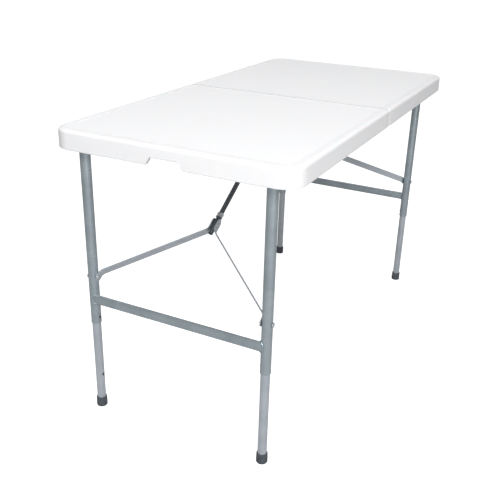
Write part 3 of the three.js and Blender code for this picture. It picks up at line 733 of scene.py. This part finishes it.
weldTree = makeWeldTree()
for end in endTurn:
    for side in sideWay:
        makeUpperLeg(end, side)
        makeLowerLeg(end, side)
        makeFootCap(end, side)
        makeSnapButton(end, side)
    makeCrossbar(end)
    makePivotTube(end)
    makeWelds(end, weldTree)
print("stage 4: leg frames")


# brace

brace = {"width": 19, "thick": 2.5, "tongue": 18, "tab": 16, "bend": 14, "linkWall": 1.8,
    "linkTail": 27, "linkHead": 6, "ringR": 8.5, "ringLength": 12, "ringClear": 5, "ringWaist": 1.1}
linkR = boxOf("brace_link_a")[1].y


def makeArm(end, side):
    way, half, r = sideWay[side], brace["thick"] / 2, brace["width"] / 2
    tongueY, tabY = linkR + gap + half, legY - leg["r"] - gap - half
    stop = armLength + brace["tongue"]
    corners = [(-r, tabY), (brace["tab"], tabY), (armLength - brace["tongue"], tongueY), (stop, tongueY)]
    path = filleted(corners, brace["bend"], 8, False)
    near = [r * (1 - math.cos(math.pi / 2 * k / 9)) for k in range(1, 10)]  # closer at the round ends
    path = [path[0]] + [Vector((-r + d, tabY)) for d in near] + path[1:-1] + \
        [Vector((stop - d, tongueY)) for d in reversed(near)] + [path[-1]]
    verts = []
    for i, point in enumerate(path):
        before, after = path[max(0, i - 1)], path[min(len(path) - 1, i + 1)]
        along = (after - before).normalized()
        across = Vector((-along.y, along.x))
        fromEnd = min(point.x + r, stop - point.x, r)
        wide = max(0.02, math.sqrt(max(0.0, r * r - (r - fromEnd) ** 2)))
        edge = min(0.45, wide * 0.5)
        upper = [(half, wide - edge), (half - edge, wide), (-half + edge, wide), (-half, wide - edge)]
        for y, z in upper + [(y, -z) for y, z in reversed(upper)]:
            spot = point + across * y
            verts.append((spot.x, way * spot.y, z))
    faces = [tuple(range(8)), tuple(range(len(verts) - 1, len(verts) - 9, -1))]
    for k in range(len(path) - 1):
        faces += bridge(k * 8, (k + 1) * 8, 8)
    piece = newMesh(f"braceArm_{end}_{side}", verts, faces, strutFrame)
    # the arm takes the lighter copy of the leg paint: painted light
    place(piece, end, f"brace_arms_{end}", "legPaintLit", [f"brace_arm_{end}_{side}"])


def makeLink(end):
    r, wall = linkR, brace["linkWall"]
    start, stop = armLength - brace["linkTail"], strutLength + brace["linkHead"]
    profile = filleted([(r, start), (r, stop), (r - wall, stop), (r - wall, start)], 0.5, 3)
    piece = lathe(f"braceLink_{end}", profile, strutFrame @ aimX, 40)
    # the link takes the shaded copy of the leg paint: painted shade
    place(piece, end, f"brace_link_{end}", "linkPaintShaded", [f"brace_link_{end}"])


def makeLockRing(end):
    start = armLength + brace["tongue"] + brace["ringClear"]
    stop, r, bore = start + brace["ringLength"], brace["ringR"], linkR + gap
    waist = r - brace["ringWaist"]
    outline = [(bore, start), (r, start), (r, start + 2.4), (waist, start + 3.4), (waist, stop - 3.4),
               (r, stop - 2.4), (r, stop), (bore, stop)]
    piece = lathe(f"lockRing_{end}", filleted(outline, 0.6, 3), strutFrame @ aimX, 48)
    place(piece, end, f"lock_ring_{end}", "zinc", [f"lock_ring_{end}"], 30)


for end in endTurn:
    makeLink(end)
    makeLockRing(end)
    for side in sideWay:
        makeArm(end, side)
print("stage 5: braces")


# brackets, clips and hinges

fitting = {"bevel": 0.5, "play": 0.4, "legFlange": 3, "legWall": 3.5, "clipWall": 2, "clipLip": 0.3,
    "linkPlate": 2, "earR": 8, "linkPinR": 3, "linkPinHead": 5, "leafThick": 2.2, "knuckle": 4.5,
    "midKnuckle": 0.4, "pin": 2, "pinHead": 3.2}


def makeLegBracket(end, side):
    low, high = boxOf("leg_bracket_a_left")
    way, seat, thick = sideWay[side], high.z, fitting["legFlange"]
    bore = tubeR + fitting["play"]
    wall, reach = bore + fitting["legWall"], (high.x - low.x) / 2
    shape = [(reach, seat), (-reach, seat), (-reach, seat - thick), (-wall - 1.5, seat - thick)]
    shape += arc((0, legPivot.z), wall, 180, 360, 28) + [(wall + 1.5, seat - thick), (reach, seat - thick)]
    at = Matrix.Translation((legX, way * (low.y + high.y) / 2, 0))
    half = (high.y - low.y) / 2
    piece = prism(f"legBracket_{end}_{side}", shape, -half, half, at)
    cutter = rodAlong("cutter", aimY, bore, -20, 20, at @ Matrix.Translation((0, 0, legPivot.z)), 48)
    combine(piece, [cutter], "DIFFERENCE")
    soften(piece, fitting["bevel"])
    place(piece, end, f"half_{end}", "zinc", [f"leg_bracket_{end}_{side}"])


def makeLegClip(end, side):
    low, high = boxOf("leg_clip_a_left")
    way, seat, wall = sideWay[side], high.z, fitting["clipWall"]
    bore = leg["r"] + fitting["play"]
    outer, reach, lip = bore + wall, (high.y - low.y) / 2, legPivot.z + fitting["clipLip"]
    shape = [(reach, seat), (-reach, seat), (-reach, seat - wall), (-outer, seat - wall), (-outer, lip)]
    shape += arc((-bore - wall / 2, lip), wall / 2, 180, 360, 8)[1:]  # round lips
    shape += arc((0, legPivot.z), bore, 179, 1, 32) + arc((bore + wall / 2, lip), wall / 2, 180, 360, 8)
    shape += [(outer, seat - wall), (reach, seat - wall)]
    half = (high.x - low.x) / 2
    at = Matrix.Translation(((low.x + high.x) / 2, way * legY, 0)) @ Matrix.Rotation(math.pi / 2, 4, "Z")
    piece = prism(f"legClip_{end}_{side}", shape, -half, half, at)
    soften(piece, 0.35)
    place(piece, end, f"half_{end}", "clipPlastic", [f"leg_clip_{end}_{side}"])


def makeLinkBracket(end):
    low, high = boxOf("link_bracket_a")
    seat, reach, thick, earR = high.z, (high.x - low.x) / 2, fitting["linkPlate"], fitting["earR"]
    outer = (high.y - low.y) / 2
    base = filleted([(-reach, -outer), (reach, -outer), (reach, outer), (-reach, outer)], 2.5, 5)
    verts = [(linkPivot.x + x, y, z) for z in (seat - thick, seat) for x, y in base]
    n = len(base)
    faces = [tuple(range(n)), tuple(range(2 * n - 1, n - 1, -1))] + bridge(0, n, n)
    piece = newMesh(f"linkBracket_{end}", verts, faces)
    ear = [(earR, seat - 1), (-earR, seat - 1)] + arc((0, linkPivot.z), earR, 180, 360, 24)
    at = Matrix.Translation((linkPivot.x, 0, 0))
    ears = [prism("ear", ear, way * outer, way * (outer - thick), at) for way in (1, -1)]
    combine(piece, ears, "UNION")
    cutter = rodAlong("cutter", aimY, fitting["linkPinR"] + 0.2, -20, 20, Matrix.Translation(linkPivot), 32)
    combine(piece, [cutter], "DIFFERENCE")
    soften(piece, 0.4)
    place(piece, end, f"half_{end}", "zinc", [f"link_bracket_{end}"])


def makeLinkPin(end):
    tip, face = boxOf("link_pin_a")[1].y, boxOf("link_bracket_a")[1].y + gap
    r, head = fitting["linkPinR"], fitting["linkPinHead"]
    half = [(r, face), (head, face), (head, tip - 1.1), (head - 0.6, tip - 0.5), (r - 0.2, tip - 0.1),
            (0, tip)]
    profile = [(x, -y) for x, y in reversed(half)] + half
    piece = lathe(f"linkPin_{end}", profile, Matrix.Translation(linkPivot) @ aimY, 36)
    place(piece, end, f"half_{end}", "zinc", [f"link_pin_{end}"], 40)


def makeHingeLeaf(end, side):
    node = f"hinge_leaf_{end}_{side}"
    low, high = boxOf(node)
    if end == "b":  # end B's leaf is made where it would stand at end A, then turned
        low, high = Vector((-high.x, -high.y, low.z)), Vector((-low.x, -low.y, high.z))
    thick, r, axis = fitting["leafThick"], fitting["knuckle"], hingeAxis.z
    y0, y1, play = low.y, high.y, fitting["play"]
    middle, half = (y0 + y1) / 2, (y1 - y0) * fitting["midKnuckle"] / 2
    spans = [(y0, middle - half - play), (middle + half + play, y1)] if end == "a" \
        else [(middle - half, middle + half)]
    plateShape = filleted([(y0, axis + r - thick), (y1, axis + r - thick), (y1, high.z), (y0, high.z)],
        2.5, 5)
    lay = Matrix.Rotation(math.pi / 2, 4, "Z")  # outline's X becomes Y, and Y becomes -X
    piece = prism(f"hingeLeaf_{end}_{side}", plateShape, -low.x - thick, -low.x, lay)
    parts = []
    for a, b in spans:
        parts.append(block("arm", (low.x + thick - 1, a, axis + r - thick), (0, b, axis + r)))
        parts.append(rodAlong("knuckle", aimY, r, a, b, Matrix.Translation((0, 0, axis)), 40))
    combine(piece, parts, "UNION")
    cutter = rodAlong("cutter", aimY, fitting["pin"] + gap, y0 - 5, y1 + 5,
        Matrix.Translation((0, 0, axis)), 28)
    combine(piece, [cutter], "DIFFERENCE")
    soften(piece, 0.3, 2)
    place(piece, end, f"half_{end}", "darkSteelAndButtonShade", [node])


def makeHingePin(side):
    low, high = boxOf(f"hinge_pin_{side}")
    r, head = fitting["pin"], fitting["pinHead"]
    profile = [(0, low.y), (head - 0.7, low.y), (head, low.y + 0.6), (head, low.y + 1.4),
               (r, low.y + 1.5), (r, high.y - 1.5), (head, high.y - 1.4), (head, high.y - 0.6),
               (head - 0.7, high.y), (0, high.y)]
    pin = lathe(f"hingePin_{side}", profile, Matrix.Translation((0, 0, hingeAxis.z)) @ aimY, 28)
    place(pin, "a", "half_a", "darkSteelAndButtonShade", [f"hinge_pin_{side}"], 40)


for end in endTurn:
    for side in sideWay:
        makeLegBracket(end, side)
        makeLegClip(end, side)
        makeHingeLeaf(end, side)
    makeLinkBracket(end)
    makeLinkPin(end)
for side in sideWay:
    makeHingePin(side)
print("stage 6: brackets, clips and hinges")


# screws and rivets

def makeFastenerTree():  # stands a copy of one fastener on every point, facing that point's own way
    tree, given, result = newTree("fasteners", "GeometryNodeTree",
        {"Geometry": "Geometry", "Fastener": "Object", "Size": "Float", "Turn Seed": "Int",
         "Material": "Material"}, {"Geometry": "Geometry"})
    facing = addNode(tree, "GeometryNodeInputNamedAttribute", {"data_type": "FLOAT_VECTOR"},
        {"Name": "facing"})
    aim = addNode(tree, "FunctionNodeAlignRotationToVector", {"axis": "Z"}, {"Vector": facing.outputs[0]})
    turn = randomNumber(tree, 0.0, math.pi, given["Turn Seed"])
    spin = addNode(tree, "FunctionNodeAxisAngleToRotation", (), {"Axis": (0, 0, 1), "Angle": turn})
    turned = addNode(tree, "FunctionNodeRotateRotation", {"rotation_space": "LOCAL"},
        {0: aim.outputs[0], 1: spin.outputs[0]})
    shape = addNode(tree, "GeometryNodeObjectInfo", {"transform_space": "ORIGINAL"},
        {"Object": given["Fastener"]})
    copies = addNode(tree, "GeometryNodeInstanceOnPoints", (), {"Points": given["Geometry"],
        "Instance": shape.outputs["Geometry"], "Rotation": turned.outputs[0], "Scale": given["Size"]})
    return endTree(tree, copies.outputs[0], given["Material"], result)


screw = {"r": 3.2, "height": 2.0, "crossLength": 1.9, "crossWidth": 0.36, "turnSeed": 3,
    "bracketX": 18, "clipY": 19.6, "leafY": 9, "leafZ": (705, 716.5), "linkX": 15.2}
rivet = {"r": 6, "height": 2.6, "rim": 0.6, "neck": 1.9, "neckShare": 0.62, "seat": 0.8}


def makePanScrew():  # a domed head with a cross recess
    r, height, a, b = (screw[k] for k in ("r", "height", "crossLength", "crossWidth"))
    dome = [(0, -0.4), (r, -0.4), (r, 0.5), (r - 0.25, 1.1), (r - 0.9, height - 0.3),
            (r - 1.9, height - 0.05), (0, height)]
    piece = lathe("panScrew", dome, steps=28)
    slots = [block("slot", (-x, -y, height - 1), (x, y, height + 1)) for x, y in ((a, b), (b, a))]
    combine(piece, slots, "DIFFERENCE")
    return piece


def makeRivetHead():  # a mushroom head with a short neck below it
    r, height, rim, neck = rivet["r"], rivet["height"], rivet["rim"], rivet["neck"]
    neckR = r * rivet["neckShare"]
    dome = [(0, -neck), (neckR, -neck), (neckR, 0), (r, 0.05), (r, rim)]
    dome += [(r * math.cos(t) ** 0.9, rim + (height - rim) * math.sin(t))
             for t in [math.pi / 2 * k / 8 for k in range(1, 8)]] + [(0, height)]
    return lathe("rivetHead", dome, steps=32)


def makeFasteners(name, end, body, points, fastener, tree, nodes=()):  # points are places and headings
    piece = newMesh(name, [p for p, _ in points], [])
    facing = piece.data.attributes.new("facing", "FLOAT_VECTOR", "POINT")
    for i, (_, way) in enumerate(points):
        facing.data[i].vector = way
    runTree(piece, tree, {"Fastener": fastener, "Size": 1.0, "Turn Seed": screw["turnSeed"],
        "Material": finish["zinc"]})
    place(piece, end, body, "zinc", nodes, 40)


def screwPoints():
    points = []
    down, inboard = (0, 0, -1), (-1, 0, 0)
    bracketLow, bracketHigh = boxOf("leg_bracket_a_left")
    clipLow, clipHigh = boxOf("leg_clip_a_left")
    leafLow, leafHigh = boxOf("hinge_leaf_a_left")
    clipX, clipZ = (clipLow.x + clipHigh.x) / 2, clipHigh.z - fitting["clipWall"]
    for way in (1, -1):
        bracketY, leafY = way * (bracketLow.y + bracketHigh.y) / 2, way * (leafLow.y + leafHigh.y) / 2
        for x in (-screw["bracketX"], screw["bracketX"]):
            points.append(((legX + x, bracketY, bracketHigh.z - fitting["legFlange"]), down))
        for y in (-screw["clipY"], screw["clipY"]):
            points.append(((clipX, way * legY + y, clipZ), down))
        for y in (-screw["leafY"], screw["leafY"]):
            points += [((leafLow.x, leafY + y, z), inboard) for z in screw["leafZ"]]
    plateZ = boxOf("link_bracket_a")[1].z - fitting["linkPlate"]
    return points + [((linkPivot.x + x, 0, plateZ), down) for x in (-screw["linkX"], screw["linkX"])]


def rivetPoints(at, y, way):  # a pair, one each side of the middle, facing out (1) or in (-1)
    return [((at.x, side * y, at.z), (0, side * way, 0)) for side in (1, -1)]


fastenerTree = makeFastenerTree()
panScrew, rivetHead = makePanScrew(), makeRivetHead()
for end in endTurn:
    makeFasteners(f"screws_{end}", end, f"half_{end}", screwPoints(), panScrew, fastenerTree)
    outside = rivetPoints(armRivet, legY + leg["r"] + rivet["seat"], 1)
    makeFasteners(f"legRivets_{end}", end, f"leg_frame_{end}", outside, rivetHead, fastenerTree,
        [f"leg_rivet_{end}_{side}" for side in sideWay])
    inside = rivetPoints(armRivet, legY - leg["r"] - brace["thick"] - 2 * gap, -1)
    inside += rivetPoints(knee, linkR + brace["thick"] + 2 * gap, 1)
    makeFasteners(f"armRivets_{end}", end, f"brace_arms_{end}", inside, rivetHead, fastenerTree,
        [f"arm_rivet_{end}_{side}" for side in sideWay] + [f"knee_rivet_{end}"])
bpy.data.objects.remove(panScrew)
bpy.data.objects.remove(rivetHead)
print("stage 7: screws and rivets")


# floor, light and camera

studio = {"floor": (0.5, 0.5, 0.5), "floorLift": 0.85, "world": 0.45, "sky": 1.05}
lights = {  # where each stands, its width, its power and what it is aimed at
    "key": ((0.4, 0.6, 3.6), 2.4, 26, (0, 0, 0.74)),
    "front": ((-3.0, -1.9, 3.2), 1.4, 160, (0, 0, 0.5)),
    "low": ((-2.6, -2.6, 0.7), 1.6, 9, (-0.4, 0, 0.3)),
}
camera = {"at": (-1779.808, -782.258, 1141.771), "yaw": 0.455, "pitch": 0.419, "roll": 0.029,
    "lens": 51.075}  # angles in radians


def makeFloor():
    size, z = 120000, -0.2
    corners = [(x * size, y * size, z) for x, y in ((-1, -1), (1, -1), (1, 1), (-1, 1))]
    floor = newMesh("floor", corners, [(0, 1, 2, 3)])
    if floor.data.polygons[0].normal.z < 0:
        floor.data.flip_normals()
    paper = bpy.data.materials.new("paperFloor")
    paper.use_nodes = True
    shader = paper.node_tree.nodes["Principled BSDF"]
    shader.inputs["Base Color"].default_value = (*studio["floor"], 1)
    shader.inputs["Roughness"].default_value = 0.9
    shader.inputs["Specular IOR Level"].default_value = 0.1
    seen = paper.node_tree.nodes.new("ShaderNodeLightPath").outputs["Is Camera Ray"]
    lift = addNode(paper.node_tree, "ShaderNodeMath", {"operation": "MULTIPLY"},
        {0: seen, 1: studio["floorLift"]})  # pale to the eye without throwing light up underneath
    shader.inputs["Emission Color"].default_value = (1, 1, 1, 1)
    paper.node_tree.links.new(lift.outputs[0], shader.inputs["Emission Strength"])
    floor.data.materials.append(paper)


def makeLight(name, at, size, power, target):
    data = bpy.data.lights.new(name, "AREA")
    data.shape, data.size, data.energy = "DISK", size, power
    lamp = bpy.data.objects.new(name, data)
    lamp.location = at
    lamp.rotation_euler = (Vector(target) - Vector(at)).to_track_quat("-Z", "Y").to_euler()
    bpy.context.scene.collection.objects.link(lamp)


def makeWorld():
    world = bpy.data.worlds.new("studio")
    world.use_nodes = True
    shader = world.node_tree.nodes["Background"]
    shader.inputs["Color"].default_value = (1, 1, 1, 1)
    seen = world.node_tree.nodes.new("ShaderNodeLightPath").outputs["Is Camera Ray"]
    strength = addNode(world.node_tree, "ShaderNodeMapRange", (),
        {"Value": seen, "To Min": studio["world"], "To Max": studio["sky"]})
    world.node_tree.links.new(strength.outputs[0], shader.inputs["Strength"])
    bpy.context.scene.world = world


def makeCamera():
    yaw, pitch, roll = camera["yaw"], camera["pitch"], camera["roll"]
    ahead = Vector((math.cos(yaw) * math.cos(pitch), math.sin(yaw) * math.cos(pitch), -math.sin(pitch)))
    level = ahead.cross(Vector((0, 0, 1))).normalized()
    upright = level.cross(ahead)
    right = level * math.cos(roll) + upright * math.sin(roll)
    up = upright * math.cos(roll) - level * math.sin(roll)
    data = bpy.data.cameras.new("camera")
    data.lens, data.sensor_width, data.clip_end = camera["lens"], 36, 500
    seen = bpy.data.objects.new("camera", data)
    seen.matrix_world = Matrix((right, up, -ahead)).transposed().to_4x4()
    seen.location = Vector(camera["at"]) * mm
    bpy.context.scene.collection.objects.link(seen)
    bpy.context.scene.camera = seen


makeFloor()
for name, values in lights.items():
    makeLight(name, *values)
makeWorld()
bpy.context.scene.view_settings.view_transform = "Standard"
makeCamera()
print("stage 8: floor, light and camera")
